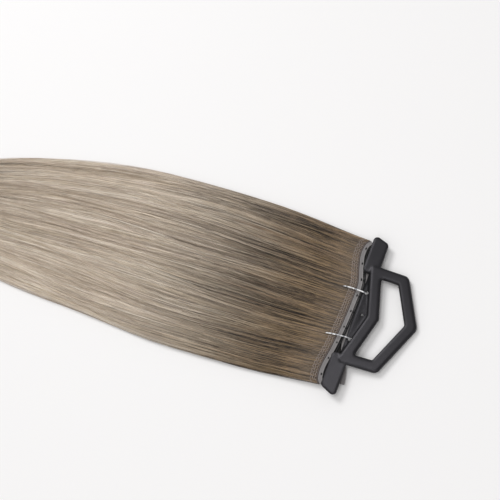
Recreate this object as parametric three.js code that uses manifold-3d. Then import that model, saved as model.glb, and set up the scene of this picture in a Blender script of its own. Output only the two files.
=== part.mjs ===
// A hair weft tied to a flat hanger, laid out on a table.
// Millimetres, +Z up. The hanger's bar runs along X, its loop points to -Y and the hair to +Y.
import * as THREE from "three";
import { mergeVertices } from "three/addons/utils/BufferGeometryUtils.js";
import Module from "manifold-3d";

const wasm = await Module();
wasm.setup();

// Hanger, in its own flat frame, with y = 0 just inside the bar side of its loop
const BAR_LENGTH = 121;
const TAB_INNER = 32;
const TAB_LOOP_EDGE = 1.4;
const TAB_HAIR_EDGE = 13.6;
const TAB_SLANT = 0.4;
const TAB_THICKNESS = 3.2;
const TAB_CORNER = 3;
const RING_WIDTH = 8.4;
const RING_THICKNESS = 4;
const WEB_EDGE = 8.2;
const WEB_DEPTH = -4.4;
const WEB_LOW = 0.2;
const WEB_HIGH = 1.4;
const TAB_BEVEL = 0.7;
const RING_BEVEL = 1.6;
const BEVEL_STEPS = 4;
const HANGER_TILT = THREE.MathUtils.degToRad(6.4);
const OPENING = [
  { x: 30, y: -1.8, inner: 1.2, outer: 3 },
  { x: 0, y: -9.9, inner: 2, outer: 2 },
  { x: -30, y: -1.8, inner: 1.2, outer: 3 },
  { x: -29.3, y: -14.8, inner: 1.6, outer: 5 },
  { x: 1.5, y: -28, inner: 2.5, outer: 6 },
  { x: 29.3, y: -14.8, inner: 1.6, outer: 5 },
];
const WEB_HOLES = [
  { x: 17, y: 5.2, radius: 1.5 },
  { x: 0, y: 2.6, radius: 1 },
  { x: -20, y: 5.2, radius: 1.5 },
];

// Sewn strips: the front one bows out round the tabs, the back one slips under the lower tab
const GAP = 0.3;
const TRACK_HALF_WIDTH = 1.6;
const TRACK_EDGE = 0.35;
const FRONT_LOW = 3.4;
const FRONT_HIGH = 4.9;
const BACK_LOW = 1.8;
const BACK_HIGH = 3.1;
const FRONT_PATH = [
  { x: -56.5, y: 14.2 },
  { x: -53, y: 16.2 },
  { x: -45, y: 16.9 },
  { x: -30, y: 14.6 },
  { x: -12, y: 12.9 },
  { x: 6, y: 12 },
  { x: 23, y: 12.2 },
  { x: 36, y: 15.8 },
  { x: 46, y: 18 },
  { x: 54, y: 17.2 },
  { x: 57.5, y: 14.6 },
];
const BACK_PATH = [
  { x: -52, y: 0.2 },
  { x: -44, y: 1.7 },
  { x: -34, y: 6 },
  { x: -20, y: 9.8 },
  { x: 0, y: 10.6 },
  { x: 24, y: 10.4 },
  { x: 56, y: 11 },
];
const TRACK_STEPS = 26;
const PIERCE_PITCH = 12;
const PIERCE_RADIUS = 0.6;
const PIERCE_OFFSET = -0.5;

// Tag ties: one closed loop each, in a plane across the bar
const TIE_RADIUS = 0.6;
const TIE_CLEARANCE = 0.35;
const TIE_STEPS = 28;
const TIE_SIDES = 6;
const TIE_LOOP = [
  { y: 4.9, z: 5.4 },
  { y: 4.9, z: 2.6 },
  { y: 6.2, z: 1.1 },
  { y: 9.5, z: 0.8 },
  { y: 16, z: 0.8 },
  { y: 21.8, z: 1 },
  { y: 24.3, z: 2.8 },
  { y: 23.7, z: 5.3 },
  { y: 20, z: 7 },
  { y: 15.6, z: 7.9 },
  { y: 11.4, z: 8.2 },
  { y: 8.2, z: 8 },
  { y: 5.9, z: 7.2 },
];
const TIES = [
  { name: "tie_upper", x: 17, slant: 0.08 },
  { name: "tie_lower", x: -20, slant: -0.05 },
];

// Hair: how wide, how high and how far to the side it lies, by distance from the root
const HAIR_LENGTH = 508;
const HEAD_DEPTH = 3;
const HEAD_LOW = 1.9;
const HEAD_HIGH = 5;
const ROOT_SETTLE = 60;
const FLOOR_SETTLE = 16;
const FLOW = [
  { along: 0, width: 115, height: 5, sweep: 0 },
  { along: 20, width: 120, height: 5.5, sweep: 0.3 },
  { along: 60, width: 131, height: 7, sweep: 1.2 },
  { along: 140, width: 145, height: 8.2, sweep: 4 },
  { along: 240, width: 147, height: 8, sweep: 6 },
  { along: 340, width: 137, height: 7, sweep: 4 },
  { along: 430, width: 119, height: 5, sweep: -2 },
  { along: 508, width: 96, height: 2.6, sweep: -10 },
];
const LOCKS = 15;
const LOCK_OVERLAP = 0.8;
const LOCK_STATIONS = [0, 0.03, 0.08, 0.17, 0.28, 0.4, 0.52, 0.64, 0.75, 0.85, 0.93, 1];
const LOCK_SECTION = [
  { across: 0.9, up: 0 },
  { across: 1, up: 0.4 },
  { across: 0.62, up: 0.86 },
  { across: 0, up: 1 },
  { across: -0.62, up: 0.86 },
  { across: -1, up: 0.4 },
  { across: -0.9, up: 0 },
];
const LENGTH_SPREAD = 0.09;
const TOP_LOCKS = [
  { from: 0.12, to: 0.2, width: 7, length: 0.9 },
  { from: 0.3, to: 0.25, width: 8, length: 0.82 },
  { from: 0.47, to: 0.55, width: 7, length: 0.93 },
  { from: 0.66, to: 0.62, width: 8, length: 0.86 },
  { from: 0.86, to: 0.8, width: 7, length: 0.9 },
];

// Materials
function plain(red, green, blue, roughness) {
  const color = new THREE.Color().setRGB(red / 255, green / 255, blue / 255, THREE.SRGBColorSpace);
  return new THREE.MeshStandardMaterial({ color, roughness, metalness: 0 });
}
const PLASTIC = plain(62, 62, 64, 0.5);
const STRIP = plain(126, 122, 121, 0.75);
const CLEAR_TIE = plain(226, 226, 228, 0.25);
const HAIR = plain(158, 142, 125, 0.6);

// Closed meshes to solids and back
function solidFrom(geometry) {
  const bare = new THREE.BufferGeometry();
  bare.setAttribute("position", geometry.getAttribute("position"));
  bare.setIndex(geometry.getIndex());
  const merged = mergeVertices(bare, 1e-4);
  const vertProperties = new Float32Array(merged.getAttribute("position").array);
  const triVerts = new Uint32Array(merged.getIndex().array);
  return new wasm.Manifold(new wasm.Mesh({ numProp: 3, vertProperties, triVerts }));
}

function geometryFrom(solid) {
  const { vertProperties, triVerts } = solid.getMesh();
  const geometry = new THREE.BufferGeometry();
  geometry.setAttribute("position", new THREE.BufferAttribute(vertProperties, 3));
  geometry.setIndex(new THREE.BufferAttribute(triVerts, 1));
  geometry.computeVertexNormals();
  return geometry;
}

// A skin through rings of equally many points, each counter-clockwise as seen along the way they run
function loft(rings, closed = false) {
  const sides = rings[0].length;
  const positions = rings.flat().flatMap((point) => point.toArray());
  const triangles = [];
  const spans = closed ? rings.length : rings.length - 1;
  for (let k = 0; k < spans; k += 1) {
    const here = k * sides;
    const there = ((k + 1) % rings.length) * sides;
    for (let j = 0; j < sides; j += 1) {
      const next = (j + 1) % sides;
      triangles.push(here + j, there + j, there + next);
      triangles.push(here + j, there + next, here + next);
    }
  }
  if (!closed) {
    const end = (rings.length - 1) * sides;
    for (let j = 1; j < sides - 1; j += 1) {
      triangles.push(0, j, j + 1);
      triangles.push(end, end + j + 1, end + j);
    }
  }
  const geometry = new THREE.BufferGeometry();
  geometry.setAttribute("position", new THREE.Float32BufferAttribute(positions, 3));
  geometry.setIndex(triangles);
  return geometry;
}

// One column of a table, read smoothly at a distance along it
function readTable(rows, column, along) {
  const next = rows.findIndex((row) => row.along > along);
  const i = next < 0 ? rows.length - 2 : Math.max(0, next - 1);
  const span = rows[i + 1].along - rows[i].along;
  const slope = (k) => {
    const before = rows[Math.max(0, k - 1)];
    const after = rows[Math.min(rows.length - 1, k + 1)];
    return ((after[column] - before[column]) / (after.along - before.along)) * span;
  };
  const t = Math.min(1, (along - rows[i].along) / span);
  const rise = rows[i + 1][column] - rows[i][column];
  const first = slope(i);
  const last = slope(i + 1);
  const curve = 3 * rise - 2 * first - last + t * (first + last - 2 * rise);
  return rows[i][column] + t * (first + t * curve);
}

// An even, repeatable scatter between -1 and 1
function scatter(index, salt) {
  const golden = 0.6180339887;
  return 2 * ((index * golden + salt * 0.37) % 1) - 1;
}

// A closed outline with every corner rounded to its own radius
function roundedOutline(outline, corners) {
  corners.forEach(({ x, y, radius }, i) => {
    const corner = new THREE.Vector2(x, y);
    const before = corners.at(i - 1);
    const after = corners[(i + 1) % corners.length];
    const back = new THREE.Vector2(before.x, before.y).sub(corner).normalize();
    const ahead = new THREE.Vector2(after.x, after.y).sub(corner).normalize();
    const half = Math.acos(back.dot(ahead)) / 2;
    const reach = radius / Math.tan(half);
    const start = corner.clone().addScaledVector(back, reach);
    const end = corner.clone().addScaledVector(ahead, reach);
    const middle = back.clone().add(ahead).normalize();
    const centre = corner.clone().addScaledVector(middle, radius / Math.sin(half));
    const clockwise = ahead.cross(back) < 0;
    const startAngle = start.clone().sub(centre).angle();
    const endAngle = end.clone().sub(centre).angle();
    if (i === 0) {
      outline.moveTo(start.x, start.y);
    }
    outline.absarc(centre.x, centre.y, radius, startAngle, endAngle, clockwise);
  });
  outline.closePath();
  return outline;
}

// Corners moved out by one distance from every edge of a counter-clockwise outline
function widened(corners, distance) {
  const outward = (from, to) => {
    const along = new THREE.Vector2(to.x - from.x, to.y - from.y).normalize();
    return new THREE.Vector2(along.y, -along.x);
  };
  return corners.map((corner, i) => {
    const first = outward(corners.at(i - 1), corner);
    const second = outward(corner, corners[(i + 1) % corners.length]);
    const share = distance / (1 + first.dot(second));
    const x = corner.x + (first.x + second.x) * share;
    const y = corner.y + (first.y + second.y) * share;
    return { ...corner, x, y };
  });
}

// A flat plate from low to high with bevelled edges
function plate(shape, low, high, bevel) {
  const geometry = new THREE.ExtrudeGeometry(shape, {
    depth: high - low - 2 * bevel,
    bevelEnabled: bevel > 0,
    bevelThickness: bevel,
    bevelSize: bevel,
    bevelOffset: -bevel,
    bevelSegments: BEVEL_STEPS,
    curveSegments: 4,
  });
  geometry.translate(0, 0, low + bevel);
  return solidFrom(geometry);
}

function peg(x, y, low, high, radius, sides) {
  const geometry = new THREE.CylinderGeometry(radius, radius, high - low, sides);
  geometry.rotateX(Math.PI / 2);
  geometry.translate(x, y, (low + high) / 2);
  return solidFrom(geometry);
}

// Hanger: loop, web and two tabs in one piece, with holes in the web for the ties
function hangerSolid() {
  const opening = OPENING.map(({ x, y, inner }) => ({ x, y, radius: inner }));
  const rim = widened(OPENING, RING_WIDTH).map(({ x, y, outer }) => ({ x, y, radius: outer }));
  const ringShape = roundedOutline(new THREE.Shape(), rim);
  ringShape.holes.push(roundedOutline(new THREE.Path(), opening));
  let solid = plate(ringShape, 0, RING_THICKNESS, RING_BEVEL);

  const webReach = TAB_INNER + 4;
  const webShape = new THREE.Shape([
    new THREE.Vector2(-webReach, WEB_EDGE),
    new THREE.Vector2(-webReach, TAB_LOOP_EDGE + 2),
    new THREE.Vector2(0, WEB_DEPTH),
    new THREE.Vector2(webReach, TAB_LOOP_EDGE + 2),
    new THREE.Vector2(webReach, WEB_EDGE),
  ]);
  solid = solid.add(plate(webShape, WEB_LOW, WEB_HIGH, 0));

  for (const side of [-1, 1]) {
    const inner = side * TAB_INNER;
    const outer = (side * BAR_LENGTH) / 2;
    const lean = (TAB_SLANT * (TAB_HAIR_EDGE - TAB_LOOP_EDGE)) / 2;
    const tabShape = roundedOutline(new THREE.Shape(), [
      { x: inner, y: TAB_HAIR_EDGE, radius: TAB_CORNER },
      { x: inner, y: TAB_LOOP_EDGE, radius: 1 },
      { x: outer - lean, y: TAB_LOOP_EDGE, radius: TAB_CORNER },
      { x: outer + lean, y: TAB_HAIR_EDGE, radius: TAB_CORNER },
    ]);
    solid = solid.add(plate(tabShape, 0, TAB_THICKNESS, TAB_BEVEL));
  }
  for (const { x, y, radius } of WEB_HOLES) {
    solid = solid.subtract(peg(x, y, -1, RING_THICKNESS + 1, radius, 12));
  }
  return solid;
}

// Sewn strips
function pathOf(rows) {
  return new THREE.CatmullRomCurve3(rows.map(({ x, y }) => new THREE.Vector3(x, y, 0)));
}
const frontPath = pathOf(FRONT_PATH);
const backPath = pathOf(BACK_PATH);

// A point beside a path, offset towards the hair
function besidePath(path, share, offset, z) {
  const point = path.getPointAt(share);
  const tangent = path.getTangentAt(share);
  return new THREE.Vector3(point.x - tangent.y * offset, point.y + tangent.x * offset, z);
}

function stripGeometry(path, nearEdge, farEdge, low, high) {
  const edge = TRACK_EDGE;
  const section = [
    [nearEdge, low + edge],
    [nearEdge, high - edge],
    [nearEdge + edge, high],
    [farEdge - edge, high],
    [farEdge, high - edge],
    [farEdge, low + edge],
    [farEdge - edge, low],
    [nearEdge + edge, low],
  ];
  const rings = [];
  for (let k = 0; k <= TRACK_STEPS; k += 1) {
    rings.push(section.map(([offset, z]) => besidePath(path, k / TRACK_STEPS, offset, z)));
  }
  return loft(rings);
}

function frontTrackSolid() {
  let solid = solidFrom(
    stripGeometry(frontPath, -TRACK_HALF_WIDTH, TRACK_HALF_WIDTH, FRONT_LOW, FRONT_HIGH),
  );
  const holes = Math.floor(frontPath.getLength() / PIERCE_PITCH);
  for (let k = 0; k < holes; k += 1) {
    const at = besidePath(frontPath, (k + 0.5) / holes, PIERCE_OFFSET, 0);
    solid = solid.subtract(peg(at.x, at.y, FRONT_LOW - 1, FRONT_HIGH + 1, PIERCE_RADIUS, 8));
  }
  return solid;
}

// Ties
function tieGeometry({ x, slant }, radius) {
  const middle = TIE_LOOP.reduce((sum, row) => sum + row.y, 0) / TIE_LOOP.length;
  const points = TIE_LOOP.map(({ y, z }) => new THREE.Vector3(x + slant * (y - middle), y, z));
  const curve = new THREE.CatmullRomCurve3(points, true);
  const side = new THREE.Vector3(1, -slant, 0).normalize();
  const rings = [];
  for (let k = 0; k < TIE_STEPS; k += 1) {
    const centre = curve.getPointAt(k / TIE_STEPS);
    const up = new THREE.Vector3().crossVectors(side, curve.getTangentAt(k / TIE_STEPS));
    const ring = [];
    for (let j = 0; j < TIE_SIDES; j += 1) {
      const angle = (2 * Math.PI * j) / TIE_SIDES;
      const point = centre.clone();
      point.addScaledVector(side, radius * Math.cos(angle));
      point.addScaledVector(up, radius * Math.sin(angle));
      ring.push(point);
    }
    rings.push(ring);
  }
  return loft(rings, true);
}

// Hair: where a strand that starts at a share of the strip's length lies, seen from above
const HEAD_NEAR = TRACK_HALF_WIDTH + GAP;
function strandPoint(share, along) {
  const root = besidePath(frontPath, share, HEAD_NEAR + HEAD_DEPTH / 3, 0);
  const across = share - 0.5;
  const spread = across * readTable(FLOW, "width", along) + readTable(FLOW, "sweep", along);
  const settle = Math.max(0, 1 - along / ROOT_SETTLE) ** 2;
  const x = spread + (root.x - across * FLOW[0].width) * settle;
  return new THREE.Vector2(x, root.y + along);
}

// One lock: a flat-bottomed section drawn along a strand, thinning to its tip
function lockGeometry({ shareAt, halfWidthAt, lowAt, highAt, length }) {
  const rings = LOCK_STATIONS.map((station) => {
    const along = station * length;
    const centre = strandPoint(shareAt(station), along);
    const halfWidth = halfWidthAt(station, along);
    const low = lowAt(along);
    const high = highAt(station, along);
    return LOCK_SECTION.map(
      ({ across, up }) =>
        new THREE.Vector3(centre.x + across * halfWidth, centre.y, low + up * (high - low)),
    );
  });
  return loft(rings);
}

function bodyLocks() {
  const locks = [];
  for (let i = 0; i < LOCKS; i += 1) {
    const share = (i + 0.5) / LOCKS;
    const edge = Math.abs(2 * share - 1);
    const length = HAIR_LENGTH * (1 - LENGTH_SPREAD * (0.5 + 0.5 * scatter(i, 1)) - 0.05 * edge ** 3);
    const thin = (station) => 1 - 0.6 * Math.max(0, (station - 0.8) / 0.2) ** 1.7;
    const wave = (station) => Math.sin(Math.PI * (2 * station + scatter(i, 2)));
    locks.push({
      length,
      shareAt: (station) => share + (0.16 / LOCKS) * wave(station) * Math.min(1, 8 * station),
      halfWidthAt: (station, along) =>
        ((readTable(FLOW, "width", along) * LOCK_OVERLAP) / LOCKS) * thin(station),
      lowAt: (along) => HEAD_LOW * Math.max(0, 1 - along / FLOOR_SETTLE),
      highAt: (station, along) => {
        const rounded = 1 - 0.34 * edge ** 4 * Math.min(1, 6 * station);
        const uneven = 1 + 0.08 * scatter(i, 3) * Math.min(1, 8 * station);
        return readTable(FLOW, "height", along) * rounded * uneven * (0.4 + 0.6 * thin(station));
      },
    });
  }
  return locks;
}

function topLocks() {
  return TOP_LOCKS.map(({ from, to, width, length }) => ({
    length: HAIR_LENGTH * length,
    shareAt: (station) => from + (to - from) * THREE.MathUtils.smoothstep(station, 0.02, 1),
    halfWidthAt: (station) => width * (1 - 0.7 * Math.max(0, (station - 0.6) / 0.4) ** 1.5),
    lowAt: (along) => 0.4 * readTable(FLOW, "height", along),
    highAt: (station, along) => {
      const proud = 0.9 * Math.sin(Math.PI * Math.min(1, station)) ** 0.5;
      return readTable(FLOW, "height", along) * (1 - 0.35 * station ** 3) + proud;
    },
  }));
}

// The back strip's own hair, a thin sheet that runs under the front strip to the head
function backRootGeometry() {
  const low = BACK_LOW + 0.1;
  const high = BACK_HIGH - 0.1;
  const rings = [];
  for (let k = 0; k <= TRACK_STEPS; k += 1) {
    const share = k / TRACK_STEPS;
    const near = (z) => besidePath(backPath, share, TRACK_HALF_WIDTH + GAP, z);
    const far = (z) => besidePath(frontPath, share, HEAD_NEAR + 1, z);
    rings.push([near(low), near(high), far(high), far(low)]);
  }
  return loft(rings);
}

function hairSolid() {
  const head = stripGeometry(frontPath, HEAD_NEAR, HEAD_NEAR + HEAD_DEPTH, HEAD_LOW, HEAD_HIGH);
  let solid = solidFrom(head);
  for (const lock of [...bodyLocks(), ...topLocks()]) {
    solid = solid.add(solidFrom(lockGeometry(lock)));
  }
  const beside = stripGeometry(frontPath, -2 * TRACK_HALF_WIDTH, HEAD_NEAR, -1, 2 * HEAD_HIGH);
  solid = solid.subtract(solidFrom(beside)).add(solidFrom(backRootGeometry()));
  for (const tie of TIES) {
    solid = solid.subtract(solidFrom(tieGeometry(tie, TIE_RADIUS + TIE_CLEARANCE)));
  }
  return solid;
}

// Assembly
function named(name, geometry, material) {
  const mesh = new THREE.Mesh(geometry, material);
  mesh.name = name;
  return mesh;
}

const weft = new THREE.Group();
const hanger = named("hanger", geometryFrom(hangerSolid()), PLASTIC);
hanger.rotation.x = HANGER_TILT;
weft.add(hanger);
hanger.updateMatrixWorld(true);
hanger.position.z = -new THREE.Box3().setFromObject(hanger, true).min.z;
weft.add(named("front_track", geometryFrom(frontTrackSolid()), STRIP));
const backStrip = stripGeometry(backPath, -TRACK_HALF_WIDTH, TRACK_HALF_WIDTH, BACK_LOW, BACK_HIGH);
weft.add(named("back_track", backStrip, STRIP));
for (const tie of TIES) {
  weft.add(named(tie.name, tieGeometry(tie, TIE_RADIUS), CLEAR_TIE));
}
weft.add(named("hair", geometryFrom(hairSolid()), HAIR));

// The frame's origin is on the floor under the middle of the whole
weft.updateMatrixWorld(true);
const whole = new THREE.Box3().setFromObject(weft, true);
const middle = whole.getCenter(new THREE.Vector3());
weft.position.set(-middle.x, -middle.y, -whole.min.z);

const part = new THREE.Group();
part.name = "hair_weft_on_hanger";
part.add(weft);

export default part;
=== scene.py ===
"""A hair weft tied to a flat plastic hanger, laid out on a pale table.

Hair is placed by share, from 0 to 1 along the sewn strip, by along, in millimetres from the root,
and by station, from 0 at the root to 1 at the tip. Its colours go by way, the share of the full length.
"""

import math

import bpy
import numpy as np
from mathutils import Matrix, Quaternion, Vector


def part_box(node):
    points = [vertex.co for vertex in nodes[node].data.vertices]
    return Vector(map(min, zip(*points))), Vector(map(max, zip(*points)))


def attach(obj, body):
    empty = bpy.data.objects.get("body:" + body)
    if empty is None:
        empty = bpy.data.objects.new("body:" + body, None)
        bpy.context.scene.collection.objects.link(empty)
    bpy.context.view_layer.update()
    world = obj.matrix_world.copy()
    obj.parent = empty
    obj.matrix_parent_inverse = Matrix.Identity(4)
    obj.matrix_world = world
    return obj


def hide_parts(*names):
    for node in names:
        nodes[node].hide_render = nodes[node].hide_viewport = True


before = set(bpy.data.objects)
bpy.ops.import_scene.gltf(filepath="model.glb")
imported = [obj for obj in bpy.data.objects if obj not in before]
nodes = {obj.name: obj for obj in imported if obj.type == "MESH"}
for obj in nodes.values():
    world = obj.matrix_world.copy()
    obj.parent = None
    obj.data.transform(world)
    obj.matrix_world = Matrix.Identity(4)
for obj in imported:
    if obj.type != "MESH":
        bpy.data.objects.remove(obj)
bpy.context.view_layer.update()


def srgb(red, green, blue):
    """A colour given as the screen shows it, from 0 to 255."""
    linear = [((c / 255 + 0.055) / 1.055) ** 2.4 for c in (red, green, blue)]
    return (*linear, 1.0)


# Sizes are millimetres in the hanger's own frame: x from the bar's middle, y from just inside the loop
MM = 0.001
TAB_EDGE_Y = 13.444
hanger_low, hanger_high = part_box("hanger")
ORIGIN_X = (hanger_low.x + hanger_high.x) / 2 / MM
ORIGIN_Y = hanger_high.y / MM - TAB_EDGE_Y
HANGER_TILT = math.radians(6.4)
HANGER_SMOOTH_ANGLE = math.radians(50)
# Up-facing hanger faces lower than this, square to the tilted hanger, are the recessed web, painted darker
# as its shade
WEB_SHADE_BELOW = 6.2
WEB_SHADE_FACES_UP = 0.9
TIE_ROUNDING = 2
MERGE_DISTANCE = 0.001

# Sewn strips, with the paths that the part's source gives them
TRACK_HALF_WIDTH = 1.6
GAP = 0.3
HEAD_NEAR = TRACK_HALF_WIDTH + GAP
FRONT_PATH = np.array([
    (-56.5, 14.2), (-53, 16.2), (-45, 16.9), (-30, 14.6), (-12, 12.9), (6, 12),
    (23, 12.2), (36, 15.8), (46, 18), (54, 17.2), (57.5, 14.6),
])
BACK_PATH = np.array([
    (-52, 0.2), (-44, 1.7), (-34, 6), (-20, 9.8), (0, 10.6), (24, 10.4), (56, 11),
])
FRONT_LENGTH = FRONT_PATH[-1, 0] - FRONT_PATH[0, 0]
SLOPE_STEP = 0.1

# Hair, as in the part's source: how wide, how high and how far to the side, by distance from the root
HAIR_LENGTH = 508
HEAD_LOW = 1.9
ROOT_SETTLE = 60
FLOOR_SETTLE = 16
LEAST_THICKNESS = 0.4
FLOW_ALONG = np.array([0, 20, 60, 140, 240, 340, 430, 508])
FLOW_WIDTH = np.array([115, 120, 131, 145, 147, 137, 119, 96])
FLOW_HEIGHT = np.array([5, 5.5, 7, 8.2, 8, 7, 5, 2.6])
FLOW_SWEEP = np.array([0, 0.3, 1.2, 4, 6, 4, -2, -10])
DRIFT_SIZE = 1.2
DRIFT_FULL_AT = 120
# Turns across the hair, turns along it, where the wave starts and its size
DRIFT_WAVES = ((2.3, 1.1, 0, 1), (5.1, -2.2, 0.3, 0.6))

# Locks: how their lengths differ, how they draw to points, and how their ridges rise
LOCKS = 15
LENGTH_SPREAD = 0.09
OUTER_SHORTER = 0.05
TIP_SLOPE = 0.03
PINCH = 0.5
PINCH_UNEVEN = 0.5
PINCH_FROM = 0.7
PINCH_POWER = 1.6
RIDGE_SETTLE = 0.125
VALLEY = 0.16
VALLEY_POWER = 2.2
SIDE_FALL = 0.34
SIDE_POWER = 4
RIM_FALL = 0.3
RIM_POWER = 24
LOCK_UNEVEN = 0.06
THIN_FROM = 0.8
THINNING = 0.36
THIN_POWER = 1.7

# An even scatter over the locks and wisps, with a salt for each use
SCATTER_STEP = 0.6180339887
SALT_STEP = 0.37
LENGTH_SALT = 1
HEIGHT_SALT = 3
PINCH_SALT = 5
SWAY_SALT = 7

# Single strands: how many, how thick and how long
STRANDS_EACH = 1500
STRAND_RINGS = 20
RING_CROWDING = 1.2
STRAND_SIDES = 3
STRAND_MARGIN = 0.002
STRAND_RADIUS = 0.13
STRAND_RADIUS_SPREAD = 0.07
TAPER_END = 1.02
TAPER_LENGTH = 0.12
TAPER_THINNEST = 0.25
STRAND_SHORTER = 0.2
SHORTER_POWER = 1.6
WISP_SHORTER = 0.06

# Single strands: how they gather in bundles and wisps, and how they stray
BUNDLES = 44
WISPS = 140
GROUP_UNEVEN = 0.55
BUNDLE_PULL = 0.1
BUNDLE_PULL_SPREAD = 0.25
BUNDLE_PULL_LEAST = 0.2
BUNDLE_FULL_AT = 160
WISP_PULL = 0.4
WISP_FULL_AT = 20
FEATHERING = 1.25
FEATHER_POWER = 0.7
LOOSE_FULL_AT = 70
STRAY_SHARE = 0.05
STRAY_FACTOR = 3.0
WANDER = 0.35
WANDER_TURNS = (1.3, 3.1)
WANDER_SECOND = 0.5
SWAY = 0.35
SWAY_TURNS = (1.1, 2.7)
SWAY_SECOND = 0.6
RIM_FROM = 0.955
RIM_FLY = 3.0
TOP_SHARE = 0.75
TOP_LAYER = 0.1
GROOVE_DEPTH = 0.4
GROOVE_POWER = 2.5
GROOVE_FULL_AT = 12
GROOVE_LEAST = 0.3
LIFT = 0.3
LIFT_TURNS = 2.1
STRAND_LOWEST = 0.3

# Single strands: how light they are, from 0 to 1, and the waves of the ribbons with their sizes
TONES = 64
MIDDLE_TONE = 0.48
RIBBON_TONE = 0.13
RIBBONS = ((4, 0.35), (9, 0.5), (19, 0.4), (41, 0.25), (83, 0.2))
WISP_TONE = 0.14
# Strands at a bundle's edges are painted darker, as shade in the grooves between bundles
BUNDLE_EDGE_PAINTED_SHADE = 0.08
# Strands under the top layer are painted darker, as shade under it
UNDER_PAINTED_SHADE = 0.12
# Strands at the hair's sides are painted lighter, as light caught along the sides
RIM_PAINTED_LIGHT = 0.2
STRAND_TONE = 0.34

# Seeds: each strand piece's own two, and what is added to them for a further draw
LAYOUT_SEEDS = (5, 5, 5, 6, 8)
FIRST_STRAND_SEED = 20
WISP_LAYOUT_SEED = 50
WISP_TONE_SEED = 90
WISP_LENGTH_SEED = 130
FEATHER_SEED = 100
RIBBON_SEED = 3

# The hair's mass under the strands, and the sheet of the back strip's hair
MASS_COLUMNS = 151
MASS_ROWS = 64
MASS_CROWDING = 1.3
MASS_REACH = 0.87
MASS_UNDER_STRANDS = 0.5
MASS_OFF_FLOOR = 0.05
MASS_THINNEST = 0.25
MASS_EDGE_POWER = 30
MASS_TIP = 0.15
BACK_COLUMNS = 81
BACK_ROWS = 6
BACK_LOW = 1.95
BACK_TOP = 2.95
BACK_OVERLAP = 1
BACK_WAY = 0.02

# Threads: the hair's root stitches and binding, the strip's raised edges, knots and edge thread
THREAD_STEPS = 120
ROOT_ROWS = (1.5, 3.3, 5.0)
ROOT_STITCHES = 94
STITCH_STEPS = 5
STITCH_SIDES = 5
STITCH_MARGIN = 0.02
STITCH_START = 0.25
STITCH_STAGGER = 0.5
STITCH_HALF = 0.42
STITCH_SLANT = 0.6
STITCH_HEIGHT = 5.3
STITCH_FALL = 0.12
STITCH_ARCH = 0.3
STITCH_RADIUS = 0.24
# The binding lies on the gap at the strip's edge; its dark colour is painted shade
BINDING_OFFSET = HEAD_NEAR + 0.25
BINDING_HEIGHT = 5.0
BINDING_RADIUS = 0.5
BINDING_SIDES = 8
STRIP_EDGES = (1.28, -1.22)
STRIP_EDGE_MARGIN = 0.006
STRIP_EDGE_HEIGHT = 4.8
STRIP_EDGE_RADIUS = 0.24
STRIP_EDGE_SIDES = 6
KNOTS = 9
KNOT_SIZES = np.array([0.15, 0.5, 0.68, 0.72, 0.68, 0.5, 0.15])
KNOT_HALF = 0.75
KNOT_SIDES = 10
# Each row of knots: how far from the strip's middle, and how high
KNOT_ROWS = ((-0.5, 4.75), (-2.1, 4.1))
# The black edge thread fills the gap between strip and web: painted shade
EDGE_THREAD_OFFSET = -2.7
EDGE_THREAD_HEIGHT = 3.7
EDGE_THREAD_MARGIN = 0.01
EDGE_THREAD_RADIUS = 0.5
EDGE_THREAD_SIDES = 8

# The hair's maps: one to read, and an equal one for the export
STRAND_UV = "strand"
BAKE_UV = "OFBake"
CELL_MARGIN = 0.1
CAP_WIDTH = 0.3
CAP_RISE = 0.002
WAY_END = 0.995

# The hair's colours by tone, how its dark root melts into blonde by length, and its streaks
ROOT_DARK = srgb(30, 22, 14)
ROOT_WARM = srgb(161, 134, 97)
ROOT_COOL = srgb(175, 148, 121)
# Greyish colour laid over the root near the strip: painted sheen
ROOT_PAINTED_SHEEN = srgb(140, 127, 115)
LENGTH_DARK = srgb(188, 171, 152)
LENGTH_WARM = srgb(232, 217, 194)
LENGTH_COOL = srgb(228, 212, 200)
LENGTH_LIGHT = srgb(245, 236, 222)
COOL_RANGE = (0.2, 0.8)
ROOT_CONTRAST = 1.2
ROOT_DARKER = 0.1
LOWER_TONES = (0.0, 0.55)
UPPER_TONES = (0.5, 1.0)
# How much painted sheen lies on the root, and how far along it fades out
ROOT_SHEEN_SHARE = 0.3
ROOT_SHEEN_REACH = 0.07
MELT_FROM = 0.01
MELT_FROM_SPREAD = 0.12
MELT_TO = 0.32
MELT_TO_SPREAD = 0.22
CELL_SPACING = 5.7
STREAKS_ALONG = 36.0
ROOT_STREAK = 2.6
LENGTH_STREAK = 0.7
STREAK_FADE = (0.03, 0.2)
MASS_STREAKS_ACROSS = 240.0
MASS_STREAKS_ALONG = 3.0
# The mass's low tone paints the shade under the strands
MASS_PAINTED_SHADE_TONE = 0.2
MASS_TONE_SPREAD = 0.4
MASS_STREAK_RANGE = (0.3, 0.75)

# The other finishes, with bevel and bump distances in metres
EDGE_SOFTNESS = 0.0028
PLASTIC_GRAIN = 0.00015
STRIP_GRAIN = 0.0002
MASS_GRAIN = 0.0006
COOL_SHINE = (0.95, 0.92, 1.0, 1.0)
STRIP_DARK = srgb(104, 100, 101)
STRIP_LIGHT = srgb(130, 126, 126)
# The nylon's pale grey, and the near-white of its painted glints
NYLON_DARK = srgb(148, 149, 154)
NYLON_PAINTED_GLINT = srgb(250, 250, 251)
PAINTED_GLINT_RANGE = (0.38, 0.58)
TABLE_COLOUR = srgb(244, 243, 243)

# Table and room, in metres
TABLE_SIZE = 6
TABLE_DROP = 0.0002
ROOM_COLOUR = (1.0, 0.995, 0.99, 1.0)
ROOM_STRENGTH = 0.45

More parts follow.
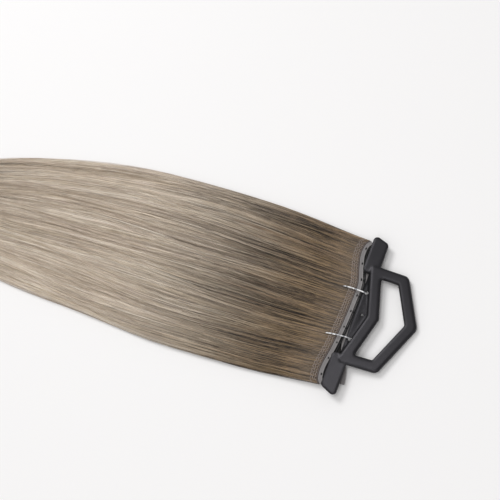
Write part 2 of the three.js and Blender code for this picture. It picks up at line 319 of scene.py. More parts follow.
# Lights: where each stands, where it shines, how wide it is and its power, in metres and watts
KEY_LIGHT = ((0.9, 1.2, 2.1), (0.02, -0.12, 0), 1.2, 29)
FILL_LIGHT = ((-1.3, -0.8, 2.0), (0, -0.1, 0), 1.4, 9.5)
TOP_LIGHT = ((0.0, -0.13, 2.2), (-0.04, -0.2, 0), 0.6, 7)

# The camera stands as in the photo: steeply above the loop's side, turned so that the bar leans up and right
CAMERA_AZIMUTH = math.radians(-30.1)
CAMERA_ELEVATION = math.radians(57)
CAMERA_ROLL = math.radians(-40.8)
CAMERA_DISTANCE = 494
CAMERA_ANGLE = math.radians(46)
CAMERA_NEAREST = 10
LOOK_X = 28.4
LOOK_Y = 113.3

# Places of the colour sockets on a Mix node, which share their names with others
MIX_FIRST = 6
MIX_SECOND = 7
MIX_RESULT = 2


def smooth(at, values, where):
    """A curve through values at the places at, read at where."""
    slopes = np.gradient(values.astype(float), at.astype(float))
    slopes[1:-1] = (values[2:] - values[:-2]) / (at[2:] - at[:-2])
    i = np.clip(np.searchsorted(at, where, side="right") - 1, 0, len(at) - 2)
    span = at[i + 1] - at[i]
    t = np.clip((where - at[i]) / span, 0, 1)
    rise = values[i + 1] - values[i]
    first = slopes[i] * span
    last = slopes[i + 1] * span
    return values[i] + t * (first + t * (3 * rise - 2 * first - last + t * (first + last - 2 * rise)))


def wave(turns):
    """A sine wave, by turns."""
    return np.sin(2 * np.pi * turns)


def scatter(index, salt):
    """An even, repeatable scatter between -1 and 1."""
    return 2 * ((index * SCATTER_STEP + salt * SALT_STEP) % 1) - 1


def track_point(share, offset, path=FRONT_PATH):
    """A point beside a strip, offset towards the hair."""
    path_x, path_y = path.T
    x = path_x[0] + share * (path_x[-1] - path_x[0])
    y = smooth(path_x, path_y, x)
    rise = smooth(path_x, path_y, x + SLOPE_STEP) - smooth(path_x, path_y, x - SLOPE_STEP)
    slope = rise / (2 * SLOPE_STEP)
    size = np.sqrt(1 + slope**2)
    return x - slope / size * offset, y + offset / size


def lock_of(share):
    """Which lock hair that starts at a share of the strip is in."""
    return np.clip((share * LOCKS).astype(int), 0, LOCKS - 1)


def lock_place(share):
    """The place in the lock, from -1 to 1 across it."""
    return 2 * (share * LOCKS - lock_of(share)) - 1


def lock_length(lock):
    """How long a lock is: uneven, and shorter towards the sides."""
    edge = np.abs(2 * (lock + 0.5) / LOCKS - 1)
    uneven = LENGTH_SPREAD * (0.5 + 0.5 * scatter(lock, LENGTH_SALT))
    return HAIR_LENGTH * (1 - uneven - OUTER_SHORTER * edge**3)


def pointed(share, station):
    """How far a strand moves to its lock's middle line towards the tip, as a share of the strip."""
    uneven = PINCH * (1 + PINCH_UNEVEN * scatter(lock_of(share), PINCH_SALT))
    tip = np.clip((station - PINCH_FROM) / (1 - PINCH_FROM), 0, 1)
    return -lock_place(share) / (2 * LOCKS) * uneven * tip**PINCH_POWER


def hair_plan(share, along):
    """Where hair that starts at a share of the strip lies, seen from above."""
    root_x, root_y = track_point(share, HEAD_NEAR)
    across = share - 0.5
    spread = across * smooth(FLOW_ALONG, FLOW_WIDTH, along) + smooth(FLOW_ALONG, FLOW_SWEEP, along)
    settle = np.clip(1 - along / ROOT_SETTLE, 0, 1) ** 2
    return spread + (root_x - across * FLOW_WIDTH[0]) * settle, root_y + along


def hair_heights(share, along):
    """The hair's underside and its top, with a low ridge along each lock."""
    low = HEAD_LOW * np.clip(1 - along / FLOOR_SETTLE, 0, 1)
    edge = np.abs(2 * share - 1)
    lock = lock_of(share)
    inside = np.abs(lock_place(share))
    station = along / lock_length(lock)
    settled = np.clip(station / RIDGE_SETTLE, 0, 1)
    ridge = 1 - VALLEY * inside**VALLEY_POWER * settled
    rounded = 1 - (SIDE_FALL * edge**SIDE_POWER + RIM_FALL * edge**RIM_POWER) * settled
    uneven = 1 + LOCK_UNEVEN * scatter(lock, HEIGHT_SALT) * settled * (1 - inside**2)
    thin = 1 - THINNING * np.clip((station - THIN_FROM) / (1 - THIN_FROM), 0, 1) ** THIN_POWER
    top = smooth(FLOW_ALONG, FLOW_HEIGHT, along) * ridge * rounded * uneven * thin
    return low, np.maximum(top, low + LEAST_THICKNESS)


def drift(share, along):
    """A slow sideways wave that neighbouring strands share, in millimetres."""
    way = along / HAIR_LENGTH
    total = np.zeros_like(way)
    for turns_across, turns_along, start, size in DRIFT_WAVES:
        total = total + size * wave(turns_across * share + turns_along * way + start)
    return DRIFT_SIZE * total * np.clip(along / DRIFT_FULL_AT, 0, 1)


class Wire:
    """A socket in a node tree, used in formulas like a number."""

    def __init__(self, tree, socket=None):
        self.tree = tree
        self.socket = socket

    def make(self, kind, settings=None, sockets=None, output=0):
        """Any other node: its settings first, then its sockets."""
        node = self.tree.nodes.new(kind)
        for name, value in (settings or {}).items():
            setattr(node, name, value)
        for name, value in (sockets or {}).items():
            self.feed(node.inputs[name], value)
        return Wire(self.tree, node.outputs[output])

    def feed(self, socket, value):
        """A link from another wire into a socket, or a plain value on it."""
        if isinstance(value, Wire):
            self.tree.links.new(value.socket, socket)
        else:
            socket.default_value = value

    def math(self, operation, first, second=0.0):
        """A Math node on two values."""
        return self.make("ShaderNodeMath", {"operation": operation}, {0: first, 1: second})

    def __add__(self, other):
        return self.math("ADD", self, other)

    def __radd__(self, other):
        return self.math("ADD", other, self)

    def __sub__(self, other):
        return self.math("SUBTRACT", self, other)

    def __rsub__(self, other):
        return self.math("SUBTRACT", other, self)

    def __mul__(self, other):
        return self.math("MULTIPLY", self, other)

    def __rmul__(self, other):
        return self.math("MULTIPLY", other, self)

    def __truediv__(self, other):
        return self.math("DIVIDE", self, other)

    def __rtruediv__(self, other):
        return self.math("DIVIDE", other, self)

    def mixed(self, first, second):
        """A colour between two, at this share."""
        sockets = {"Factor": self, MIX_FIRST: first, MIX_SECOND: second}
        return self.make("ShaderNodeMix", {"data_type": "RGBA"}, sockets, MIX_RESULT)

    def eased(self, low, high):
        """0 below low, 1 above high and smooth between."""
        sockets = {"Value": self, "From Min": low, "From Max": high}
        return self.make("ShaderNodeMapRange", {"interpolation_type": "SMOOTHSTEP"}, sockets)

    def noise(self, scale, detail=2.0):
        """Soft noise at this place."""
        sockets = {"Vector": self, "Scale": scale, "Detail": detail}
        return self.make("ShaderNodeTexNoise", {}, sockets)


def new_material(name):
    """An empty material with a Principled shader: the material, its wires and the shader's inputs."""
    material = bpy.data.materials.new(name)
    material.use_nodes = True
    tree = material.node_tree
    shader = tree.nodes["Principled BSDF"]
    return material, Wire(tree), shader.inputs


def plastic_material(name, dark, light, shine):
    """Satin moulded plastic with a fine grain and soft edges."""
    material, wire, shader = new_material(name)
    place = wire.make("ShaderNodeTexCoord", output="Object")
    cloud = place.noise(scale=60.0, detail=3.0)
    grain = place.noise(scale=2600.0)
    rounded = wire.make("ShaderNodeBevel", {"samples": 8}, {"Radius": EDGE_SOFTNESS})
    wire.feed(shader["Base Color"], cloud.mixed(dark, light))
    wire.feed(shader["Roughness"], 0.3 + 0.12 * cloud)
    wire.feed(shader["Specular IOR Level"], shine)
    wire.feed(shader["Specular Tint"], COOL_SHINE)
    sockets = {"Strength": 0.12, "Distance": PLASTIC_GRAIN, "Height": grain, "Normal": rounded}
    wire.feed(shader["Normal"], wire.make("ShaderNodeBump", {}, sockets))
    return material


def strip_material():
    """The grey coated strip, faintly cloudy and rough."""
    material, wire, shader = new_material("coated_strip")
    place = wire.make("ShaderNodeTexCoord", output="Object")
    cloud = place.noise(scale=140.0, detail=4.0)
    grain = place.noise(scale=1500.0)
    wire.feed(shader["Base Color"], cloud.mixed(STRIP_DARK, STRIP_LIGHT))
    wire.feed(shader["Roughness"], 0.5 + 0.2 * grain)
    sockets = {"Strength": 0.3, "Distance": STRIP_GRAIN, "Height": grain}
    wire.feed(shader["Normal"], wire.make("ShaderNodeBump", {}, sockets))
    return material


def tie_material():
    """Clear nylon as it looks on the strip: glints painted as near-white patches on a pale grey filament."""
    material, wire, shader = new_material("clear_nylon")
    place = wire.make("ShaderNodeTexCoord", output="Object")
    # Painted highlights: patches of near-white colour stand in for the filament's glints
    painted_glint = place.noise(scale=520.0).eased(*PAINTED_GLINT_RANGE)
    wire.feed(shader["Base Color"], painted_glint.mixed(NYLON_DARK, NYLON_PAINTED_GLINT))
    wire.feed(shader["Roughness"], 0.3 - 0.2 * painted_glint)
    wire.feed(shader["Coat Weight"], 0.5)
    return material


def thread_material(name, dark, light):
    """Dull sewing thread, uneven between two colours, also used for painted shade."""
    material, wire, shader = new_material(name)
    place = wire.make("ShaderNodeTexCoord", output="Object")
    wire.feed(shader["Base Color"], place.noise(scale=500.0).mixed(dark, light))
    wire.feed(shader["Roughness"], 0.7)
    return material


def hair_colour(tone, way, chance):
    """Dark at the root under a painted grey sheen, melting into blonde, lighter or darker by tone from 0 to
    1.
    """
    cool = chance.eased(*COOL_RANGE)
    root = (ROOT_CONTRAST * tone - ROOT_DARKER).mixed(ROOT_DARK, cool.mixed(ROOT_WARM, ROOT_COOL))
    # Painted sheen: the root is lightened towards grey, fading out along its first stretch
    root = (ROOT_SHEEN_SHARE - ROOT_SHEEN_SHARE * way.eased(0.0, ROOT_SHEEN_REACH)).mixed(root, ROOT_PAINTED_SHEEN)
    lower = tone.eased(*LOWER_TONES).mixed(LENGTH_DARK, cool.mixed(LENGTH_WARM, LENGTH_COOL))
    length = tone.eased(*UPPER_TONES).mixed(lower, LENGTH_LIGHT)
    melt = way.eased(MELT_FROM + MELT_FROM_SPREAD * chance, MELT_TO + MELT_TO_SPREAD * chance)
    return melt.mixed(root, length)


def hair_map(wire):
    """A hair piece's own map: the place across it, and the way from root to tip."""
    place = wire.make("ShaderNodeUVMap", {"uv_map": STRAND_UV})
    return [wire.make("ShaderNodeSeparateXYZ", {}, {"Vector": place}, axis) for axis in ("X", "Y")]


def strand_material():
    """Single strands: the cell across the map gives the tone, with streaks that fade from the root."""
    material, wire, shader = new_material("hair_strands")
    across, way = hair_map(wire)
    cell = wire.math("FLOOR", across * TONES)
    chance = wire.make("ShaderNodeTexWhiteNoise", {"noise_dimensions": "1D"}, {"W": cell})
    spot = wire.make("ShaderNodeCombineXYZ", {}, {"X": cell * CELL_SPACING, "Y": way * STREAKS_ALONG})
    streak = spot.noise(scale=1.0)
    strength = ROOT_STREAK - (ROOT_STREAK - LENGTH_STREAK) * way.eased(*STREAK_FADE)
    tone = cell / TONES + strength * (streak - 0.5)
    wire.feed(shader["Base Color"], hair_colour(tone, way, chance))
    wire.feed(shader["Roughness"], 0.4)
    return material


def mass_material():
    """The hair under the single strands: the same colours in streaks, kept low in tone as painted shade
    under the strands.
    """
    material, wire, shader = new_material("hair_mass")
    across, way = hair_map(wire)
    sockets = {"X": across * MASS_STREAKS_ACROSS, "Y": way * MASS_STREAKS_ALONG}
    spot = wire.make("ShaderNodeCombineXYZ", {}, sockets)
    streak = spot.noise(scale=1.0, detail=4.0)
    tone = MASS_PAINTED_SHADE_TONE + MASS_TONE_SPREAD * streak.eased(*MASS_STREAK_RANGE)
    wire.feed(shader["Base Color"], hair_colour(tone, way, streak))
    wire.feed(shader["Roughness"], 0.5)
    sockets = {"Strength": 0.6, "Distance": MASS_GRAIN, "Height": streak}
    wire.feed(shader["Normal"], wire.make("ShaderNodeBump", {}, sockets))
    return material


def new_piece(name, verts, faces, material, uv=None):
    """A smooth mesh piece in millimetres of the hanger's frame, with an optional map per face corner."""
    points = np.asarray(verts, float) + (ORIGIN_X, ORIGIN_Y, 0)
    mesh = bpy.data.meshes.new(name)
    mesh.from_pydata((points * MM).tolist(), [], faces)
    if uv is not None:
        flat = np.ascontiguousarray(uv, np.float32).ravel()
        for layer_name in (STRAND_UV, BAKE_UV):
            mesh.uv_layers.new(name=layer_name).uv.foreach_set("vector", flat)
    mesh.shade_smooth()
    mesh.materials.append(material)
    mesh.update()
    piece = bpy.data.objects.new(name, mesh)
    bpy.context.scene.collection.objects.link(piece)
    return piece


def tubes(centres, radii, sides):
    """Closed thin tubes along rows of centres, with a radius at each centre: their points and faces."""
    count, stations, _ = centres.shape
    angles = 2 * np.pi * np.arange(sides) / sides
    ahead = np.gradient(centres, axis=1)
    ahead /= np.linalg.norm(ahead, axis=2, keepdims=True)
    beside = np.cross(ahead, (0, 0, 1.0))
    beside /= np.linalg.norm(beside, axis=2, keepdims=True)
    above = np.cross(beside, ahead)
    out_beside = np.cos(angles)[:, None] * beside[:, :, None, :]
    out_above = np.sin(angles)[:, None] * above[:, :, None, :]
    rings = centres[:, :, None, :] + radii[:, :, None, None] * (out_beside + out_above)
    first = (np.arange(count) * stations * sides)[:, None, None]
    ring = first + (np.arange(stations - 1) * sides)[None, :, None]
    here = ring + np.arange(sides)
    turned = ring + (np.arange(sides) + 1) % sides
    quads = np.stack([here, here + sides, turned + sides, turned], axis=-1).reshape(-1, 4)
    start = first[:, 0] + np.arange(sides)
    end = start + (stations - 1) * sides
    caps = np.stack([start, end[:, ::-1]], axis=1).reshape(-1, sides)
    return rings.reshape(-1, 3), quads[:, ::-1].tolist() + caps[:, ::-1].tolist()


def tube_map(tones, way, sides):
    """Corner coordinates for tubes: the tone's cell across, root to tip upwards."""
    count, stations = way.shape
    cell_width = 1 - 2 * CELL_MARGIN
    left = (tones[:, None, None] + CELL_MARGIN + cell_width * np.arange(sides) / sides) / TONES
    right = left + cell_width / sides / TONES
    low = way[:, :-1, None]
    high = way[:, 1:, None]
    shape = (count, stations - 1, sides)
    left, right, low, high = (np.broadcast_to(a, shape) for a in (left, right, low, high))
    corners = [(left, low), (left, high), (right, high), (right, low)]
    quads = np.stack([np.stack(pair, axis=-1) for pair in corners], axis=3)[:, :, :, ::-1]
    turn = np.arange(sides) / sides
    rise = CAP_RISE * (turn > CAP_WIDTH)
    cap_x = np.broadcast_to(left[:, 0, :1, None] + CAP_WIDTH * turn / TONES, (count, 2, sides))
    cap_y = np.stack([way[:, :1] + rise, way[:, -1:] - rise], axis=1)
    caps = np.stack([cap_x, cap_y], axis=-1)[:, :, ::-1]
    return np.concatenate([quads.reshape(-1, 2), caps.reshape(-1, 2)])


def layout_of(count, seed):
    """Uneven groups of strands across the strip: their edges, from 0 to 1."""
    draw = np.random.default_rng(seed)
    widths = np.exp(GROUP_UNEVEN * draw.standard_normal(count))
    return np.concatenate([[0], np.cumsum(widths)]) / widths.sum()


def group_of(share, layout):
    """Which group each strand is in, the group's middle, and the place in it from -1 to 1."""
    group = np.clip(np.searchsorted(layout, share, side="right") - 1, 0, len(layout) - 2)
    middle = (layout[group] + layout[group + 1]) / 2
    return group, middle, (share - middle) / (layout[group + 1] - layout[group]) * 2


def ribbon(share):
    """Light and dark ribbons across the hair, above and below 0."""
    draw = np.random.default_rng(RIBBON_SEED)
    total = np.zeros_like(share)
    for waves, size in RIBBONS:
        total += size * wave(waves * share + draw.random())
    return total


def wisp_tones(wisps, bundles, layout_seed):
    """How light each wisp is: by ribbons and by chance, and painted darker at its bundle's edges as shade in
    the grooves.
    """
    middle = (wisps[:-1] + wisps[1:]) / 2
    _, _, place = group_of(middle, bundles)
    chance = np.random.default_rng(layout_seed + WISP_TONE_SEED).standard_normal(WISPS)
    tone = MIDDLE_TONE + RIBBON_TONE * ribbon(middle) + WISP_TONE * chance
    return tone - BUNDLE_EDGE_PAINTED_SHADE * np.abs(place) ** 3


def strand_lengths(draw, share, wisp, layout_seed):
    """How long each strand is: shorter at the edges of its lock, by chance and by its wisp."""
    wisp_chance = np.random.default_rng(layout_seed + WISP_LENGTH_SEED).random(WISPS)
    shorter = TIP_SLOPE * lock_place(share) ** 2
    shorter = shorter + STRAND_SHORTER * draw.random(len(share)) ** SHORTER_POWER
    shorter = shorter + WISP_SHORTER * wisp_chance[wisp]
    return lock_length(lock_of(share)) * (1 - shorter)


def strand_piece(name, count, material, layout_seed, seed):
    """Single strands, drawn together in wisps and bundles, with grooves between the bundles."""
    draw = np.random.default_rng(seed)
    stations = np.linspace(0, 1, STRAND_RINGS) ** RING_CROWDING
    share = STRAND_MARGIN + (1 - 2 * STRAND_MARGIN) * (np.arange(count) + draw.random(count)) / count
    bundles = layout_of(BUNDLES, layout_seed)
    wisps = layout_of(WISPS, layout_seed + WISP_LAYOUT_SEED)
    _, bundle_middle, bundle_place = group_of(share, bundles)
    wisp, wisp_middle, _ = group_of(share, wisps)
    along = strand_lengths(draw, share, wisp, layout_seed)[:, None] * stations
    on_top = draw.random(count) < TOP_SHARE
    stray = np.where(draw.random(count) < STRAY_SHARE, STRAY_FACTOR, 1.0)[:, None]
    loose = np.clip(along / LOOSE_FULL_AT, 0, 1)
    rim = np.clip((np.abs(2 * share - 1) - RIM_FROM) / (1 - RIM_FROM), 0, 1)

    # Drawn together, seen from above
    pull = BUNDLE_PULL + BUNDLE_PULL_SPREAD * draw.random(count)
    to_bundle = ((bundle_middle - share) * pull)[:, None]
    to_wisp = ((wisp_middle - share) * WISP_PULL)[:, None]
    feathered = FEATHERING * np.random.default_rng(seed + FEATHER_SEED).random(count) ** FEATHER_POWER
    moved = share[:, None] + to_bundle * np.clip(along / BUNDLE_FULL_AT, BUNDLE_PULL_LEAST, 1)
    moved = moved + to_wisp * np.clip(along / WISP_FULL_AT, 0, 1)
    moved = moved + pointed(share[:, None], stations) * feathered[:, None]
    x, y = hair_plan(moved, along)

    # Straying to the side
    phase = draw.random((count, 2))
    wander = wave(WANDER_TURNS[0] * stations + phase[:, :1])
    wander = wander + WANDER_SECOND * wave(WANDER_TURNS[1] * stations + phase[:, 1:])
    turn = scatter(wisp, SWAY_SALT)[:, None]
    sway = wave(SWAY_TURNS[0] * stations + turn) + SWAY_SECOND * wave(SWAY_TURNS[1] * stations - turn)
    fly = np.sign(share - 0.5) * rim * RIM_FLY * draw.random(count) ** 2
    x = x + drift(moved, along) + loose * (WANDER * stray * wander + SWAY * sway + fly[:, None])

    # Heights
    low, top = hair_heights(moved, along)
    depth = np.where(on_top, 1 - TOP_LAYER * draw.random(count), draw.random(count))
    groove = np.abs(bundle_place[:, None]) ** GROOVE_POWER * np.clip(along / GROOVE_FULL_AT, GROOVE_LEAST, 1)
    lift = LIFT * loose * stray * (1 + wave(LIFT_TURNS * stations + phase[:, 1:]))
    z = low + (top - low) * depth[:, None] + (lift - GROOVE_DEPTH * groove) * on_top[:, None]
    z = np.maximum(z, low + STRAND_LOWEST)

    # Thickness and tone
    radius = STRAND_RADIUS + STRAND_RADIUS_SPREAD * draw.random(count)
    taper = np.clip((TAPER_END - stations) / TAPER_LENGTH, TAPER_THINNEST, 1)
    # Strands under the top layer painted darker as shade, strands at the sides painted lighter as light
    tone = wisp_tones(wisps, bundles, layout_seed)[wisp] - UNDER_PAINTED_SHADE * ~on_top + RIM_PAINTED_LIGHT * rim
    tone = tone + STRAND_TONE * draw.standard_normal(count)
    cell = np.clip(tone * TONES, 0, TONES - 1).astype(int)
    way = np.clip(along / HAIR_LENGTH, 0, WAY_END)
    verts, faces = tubes(np.stack([x, y, z], axis=-1), radius[:, None] * taper, STRAND_SIDES)
    return new_piece(name, verts, faces, material, tube_map(cell, way, STRAND_SIDES))


def skin_piece(name, x, y, low, top, share, way, material):
    """A closed skin over a grid of places, from low to top."""
    rows, columns = x.shape
    upper = np.stack([x, y, top], axis=-1).reshape(-1, 3)
    under = np.stack([x, y, low], axis=-1).reshape(-1, 3)
    grid = np.arange(rows * columns).reshape(rows, columns)
    corners = [grid[:-1, :-1], grid[:-1, 1:], grid[1:, 1:], grid[1:, :-1]]
    sheet = np.stack(corners, axis=-1).reshape(-1, 4)
    rim = np.concatenate([grid[0, :], grid[1:, -1], grid[-1, -2::-1], grid[-2:0:-1, 0]])
    other = np.roll(rim, -1)
    depth = rows * columns
    wall = np.stack([rim, rim + depth, other + depth, other], axis=-1)
    faces = np.concatenate([sheet, sheet[:, ::-1] + depth, wall])
    places = np.stack([share, np.broadcast_to(way, share.shape)], axis=-1).reshape(-1, 2)
    places = np.concatenate([places, places])
    return new_piece(name, np.concatenate([upper, under]), faces.tolist(), material, places[faces.ravel()])


def mass_piece(material):
    """The hair's mass: a closed skin a little under the strands."""
    share = np.linspace(0, 1, MASS_COLUMNS)[None, :]
    station = (np.linspace(0, 1, MASS_ROWS) ** MASS_CROWDING)[:, None]
    lengths = lock_length(lock_of(share)) * (MASS_REACH - TIP_SLOPE * lock_place(share) ** 2)
    along = station * lengths
    share = np.broadcast_to(share, along.shape)
    moved = share + pointed(share, MASS_REACH * station)
    x, y = hair_plan(moved, along)
    x = x + drift(moved, along)
    low, top = hair_heights(share, along)
    inner = (1 - np.abs(2 * share - 1) ** MASS_EDGE_POWER) * np.clip((1 - station) / MASS_TIP, 0, 1)
    top = low + np.maximum(MASS_THINNEST, (top - low - MASS_UNDER_STRANDS) * inner)
    low = low + MASS_OFF_FLOOR
    return skin_piece("hair_mass", x, y, low, top, share, along / HAIR_LENGTH, material)


def back_root_piece(material):
    """The back strip's own hair, a thin sheet that runs under the front strip, near black as painted shade.
    """
    share = np.broadcast_to(np.linspace(0, 1, BACK_COLUMNS)[None, :], (BACK_ROWS, BACK_COLUMNS))
    blend = np.linspace(0, 1, BACK_ROWS)[:, None]
    near_x, near_y = track_point(share, HEAD_NEAR, BACK_PATH)
    far_x, far_y = track_point(share, HEAD_NEAR + BACK_OVERLAP)
    x = near_x + (far_x - near_x) * blend
    y = near_y + (far_y - near_y) * blend
    low = np.full_like(x, BACK_LOW)
    top = np.full_like(x, BACK_TOP)
    return skin_piece("back_root_hair", x, y, low, top, share, blend * BACK_WAY, material)


def beside_strip(share, offset, height):
    """Centres of threads that run beside the front strip's middle line."""
    x, y = track_point(share, offset)
    return np.stack([x, y, np.full_like(x, height)], axis=-1)


def stitch_piece(material):
    """Rows of small slanted stitches across the hair's root, beside the strip."""
    steps = np.linspace(-1, 1, STITCH_STEPS)
    number = np.arange(ROOT_STITCHES)
    slant = STITCH_SLANT * (1 - 2 * (number % 2))[:, None]
    height = STITCH_HEIGHT + STITCH_ARCH * (1 - steps**2)
    rows = []
    for row, offset in enumerate(ROOT_ROWS):
        middle = (number + STITCH_START + STITCH_STAGGER * (row % 2)) / ROOT_STITCHES
        share = STITCH_MARGIN + (1 - 2 * STITCH_MARGIN) * middle[:, None]
        share = share + steps * STITCH_HALF / ROOT_STITCHES
        rows.append(beside_strip(share, HEAD_NEAR + offset + slant * steps, height - STITCH_FALL * row))
    centres = np.concatenate(rows)
    verts, faces = tubes(centres, np.full(centres.shape[:2], STITCH_RADIUS), STITCH_SIDES)
    return new_piece("root_stitches", verts, faces, material)


def binding_piece(material):
    """A thread along the strip at the hair's root, dark as painted shade of the gap at the strip's edge."""
    share = np.linspace(0, 1, THREAD_STEPS)[None, :]
    centres = beside_strip(share, BINDING_OFFSET, BINDING_HEIGHT)
    verts, faces = tubes(centres, np.full(share.shape, BINDING_RADIUS), BINDING_SIDES)
    return new_piece("root_binding", verts, faces, material)


def strip_edge_piece(material):
    """The front strip's two raised edges."""
    share = np.linspace(STRIP_EDGE_MARGIN, 1 - STRIP_EDGE_MARGIN, THREAD_STEPS)
    centres = np.stack([beside_strip(share, offset, STRIP_EDGE_HEIGHT) for offset in STRIP_EDGES])
    verts, faces = tubes(centres, np.full(centres.shape[:2], STRIP_EDGE_RADIUS), STRIP_EDGE_SIDES)
    return new_piece("strip_edges", verts, faces, material)


def strip_stitch_piece(material):
    """Black knots at the front strip's holes and at its edge, and a run of black thread along that edge as
    painted shade of the gap.
    """
    steps = np.linspace(-1, 1, len(KNOT_SIZES))
    share = (np.arange(KNOTS) + 0.5)[:, None] / KNOTS + KNOT_HALF * steps / FRONT_LENGTH
    sizes = np.broadcast_to(KNOT_SIZES, share.shape)
    parts = [tubes(beside_strip(share, offset, height), sizes, KNOT_SIDES) for offset, height in KNOT_ROWS]
    share = np.linspace(EDGE_THREAD_MARGIN, 1 - EDGE_THREAD_MARGIN, THREAD_STEPS)[None, :]
    centres = beside_strip(share, EDGE_THREAD_OFFSET, EDGE_THREAD_HEIGHT)
    parts.append(tubes(centres, np.full(share.shape, EDGE_THREAD_RADIUS), EDGE_THREAD_SIDES))
    points = np.zeros((0, 3))
    faces = []
    for verts, sides in parts:
        faces += [[corner + len(points) for corner in face] for face in sides]
        points = np.concatenate([points, verts])
    return new_piece("strip_stitches", points, faces, material)


def merged_copy(node, name):
    """A copy of a solid with its corners joined, ready to be smoothed."""
    bpy.ops.object.select_all(action="DESELECT")
    piece = bpy.data.objects.new(name, node.data.copy())
    bpy.context.scene.collection.objects.link(piece)
    piece.select_set(True)
    bpy.context.view_layer.objects.active = piece
    bpy.ops.object.mode_set(mode="EDIT")
    bpy.ops.mesh.select_all(action="SELECT")
    bpy.ops.mesh.remove_doubles(threshold=MERGE_DISTANCE * MM)
    bpy.ops.object.mode_set(mode="OBJECT")
    return piece


def set_materials(piece, *materials):
    """The materials of a piece, in place of those it had."""
    piece.data.materials.clear()
    for material in materials:
        piece.data.materials.append(material)


def smooth_hanger(node, material, web_shade_material):
    """The hanger with light that runs softly over its rounded edges, and its recessed web duller and painted
    darker as shade.
    """
    piece = merged_copy(node, "smooth_hanger")
    bpy.ops.object.shade_smooth_by_angle(angle=HANGER_SMOOTH_ANGLE)
    modifier = piece.modifiers.new("even_light", "WEIGHTED_NORMAL")
    modifier.keep_sharp = True
    bpy.ops.object.modifier_apply(modifier=modifier.name)
    set_materials(piece, material, web_shade_material)
    # The web's faces take the second material, whose darker colour is painted shade of the recess
    for face in piece.data.polygons:
        place = face.center / MM
        height = place.z - math.tan(HANGER_TILT) * (place.y - ORIGIN_Y)
        face.material_index = int(height < WEB_SHADE_BELOW and face.normal.z > WEB_SHADE_FACES_UP)
    return piece


def smooth_tie(node, name, material):
    """A tie as one smooth round filament."""
    piece = merged_copy(node, name)
    bpy.ops.object.mode_set(mode="EDIT")
    bpy.ops.mesh.select_all(action="SELECT")
    bpy.ops.mesh.tris_convert_to_quads()
    bpy.ops.object.mode_set(mode="OBJECT")
    modifier = piece.modifiers.new("round", "SUBSURF")
    modifier.levels = TIE_ROUNDING
    modifier.render_levels = TIE_ROUNDING
    bpy.ops.object.modifier_apply(modifier=modifier.name)
    bpy.ops.object.shade_smooth()
    set_materials(piece, material)
    return piece


def stage_plane():
    """The pale table that the weft lies on."""
    bpy.ops.mesh.primitive_plane_add(size=TABLE_SIZE, location=(0, 0, -TABLE_DROP))
    plane = bpy.context.object
    plane.name = "table"
    material, wire, shader = new_material("pale_table")
    wire.feed(shader["Base Color"], TABLE_COLOUR)
    wire.feed(shader["Roughness"], 0.75)
    plane.data.materials.append(material)
    return plane


def soft_light(name, place, target, size, power):
    """A round area light that shines from its place to a target."""
    bpy.ops.object.light_add(type="AREA", location=place)
    light = bpy.context.object
    light.name = name
    light.data.shape = "DISK"
    light.data.size = size
    light.data.energy = power
    light.rotation_euler = (Vector(target) - Vector(place)).to_track_quat("-Z", "Y").to_euler()
    return light


def photo_camera():
    """The camera at the photo's viewing angle."""
    target = Vector(((ORIGIN_X + LOOK_X) * MM, (ORIGIN_Y + LOOK_Y) * MM, 0))
    flat = math.cos(CAMERA_ELEVATION)
    away_x = math.sin(CAMERA_AZIMUTH) * flat
    away_y = -math.cos(CAMERA_AZIMUTH) * flat
    away = Vector((away_x, away_y, math.sin(CAMERA_ELEVATION)))
    bpy.ops.object.camera_add(location=target + CAMERA_DISTANCE * MM * away)
    camera = bpy.context.object
    upright = (-away).to_track_quat("-Z", "Y")
    camera.rotation_euler = (upright @ Quaternion((0, 0, 1), CAMERA_ROLL)).to_euler()
    camera.data.angle = CAMERA_ANGLE
    camera.data.clip_start = CAMERA_NEAREST * MM
    return camera


# Materials
plastic = plastic_material("satin_black_plastic", srgb(14, 14, 16), srgb(23, 23, 25), 0.4)
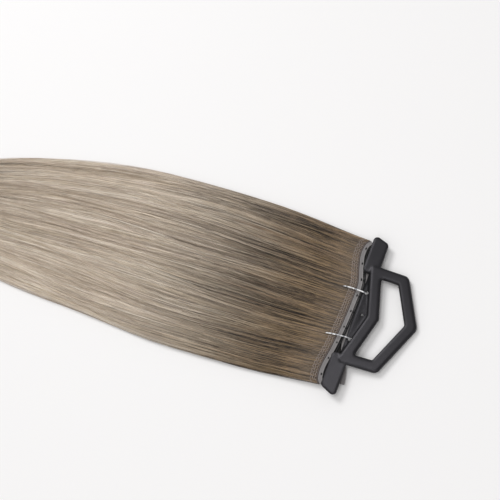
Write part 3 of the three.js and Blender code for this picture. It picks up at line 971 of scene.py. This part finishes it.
# Darker colour and weaker shine for the web: painted shade of its recess
web_shade_plastic = plastic_material("black_web_painted_shade", srgb(10, 10, 11), srgb(18, 18, 20), 0.3)
strip = strip_material()
nylon = tie_material()
thread = thread_material("pale_thread", srgb(136, 124, 117), srgb(178, 166, 159))
strip_edge = thread_material("pale_strip_edge", srgb(138, 135, 134), srgb(168, 165, 164))
# Colour of the binding: painted shade of the gap at the strip's edge
painted_shade_thread = thread_material("painted_shade_thread", srgb(82, 73, 70), srgb(114, 103, 99))
# Black for the knots, and for the edge thread as painted shade of the gap
black_thread_and_shade = thread_material("black_thread_and_shade", srgb(12, 12, 13), srgb(24, 24, 25))
# Near-black colour of the back strip's hair: painted shade of the gaps beside the front strip
painted_shade_root = thread_material("painted_shade_root", srgb(10, 9, 8), srgb(22, 19, 17))
strands = strand_material()
mass = mass_material()

# Pieces
for name in ("front_track", "back_track"):
    set_materials(nodes[name], strip)

smooth_pieces = {
    "hanger": smooth_hanger(nodes["hanger"], plastic, web_shade_plastic),
    "tie_upper": smooth_tie(nodes["tie_upper"], "upper_filament", nylon),
    "tie_lower": smooth_tie(nodes["tie_lower"], "lower_filament", nylon),
}
for name, piece in smooth_pieces.items():
    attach(piece, "root")
    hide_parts(name)

hair_pieces = [mass_piece(mass), back_root_piece(painted_shade_root)]
for number, layout_seed in enumerate(LAYOUT_SEEDS):
    name = f"hair_strands_{number + 1}"
    seed = FIRST_STRAND_SEED + number
    hair_pieces.append(strand_piece(name, STRANDS_EACH, strands, layout_seed, seed))
hair_pieces.append(stitch_piece(thread))
hair_pieces.append(binding_piece(painted_shade_thread))
for piece in hair_pieces:
    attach(piece, "root")
    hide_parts("hair")

for piece in (strip_stitch_piece(black_thread_and_shade), strip_edge_piece(strip_edge)):
    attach(piece, "root")

# Table, lights, room and camera
camera = photo_camera()
bpy.context.scene.camera = camera
table = stage_plane()
key = soft_light("key_light", *KEY_LIGHT)
fill = soft_light("fill_light", *FILL_LIGHT)
top = soft_light("top_light", *TOP_LIGHT)

scene = bpy.context.scene
scene.view_settings.view_transform = "Standard"
world = bpy.data.worlds.new("pale_room")
world.use_nodes = True
background = world.node_tree.nodes["Background"].inputs
background["Color"].default_value = ROOM_COLOUR
background["Strength"].default_value = ROOM_STRENGTH
scene.world = world
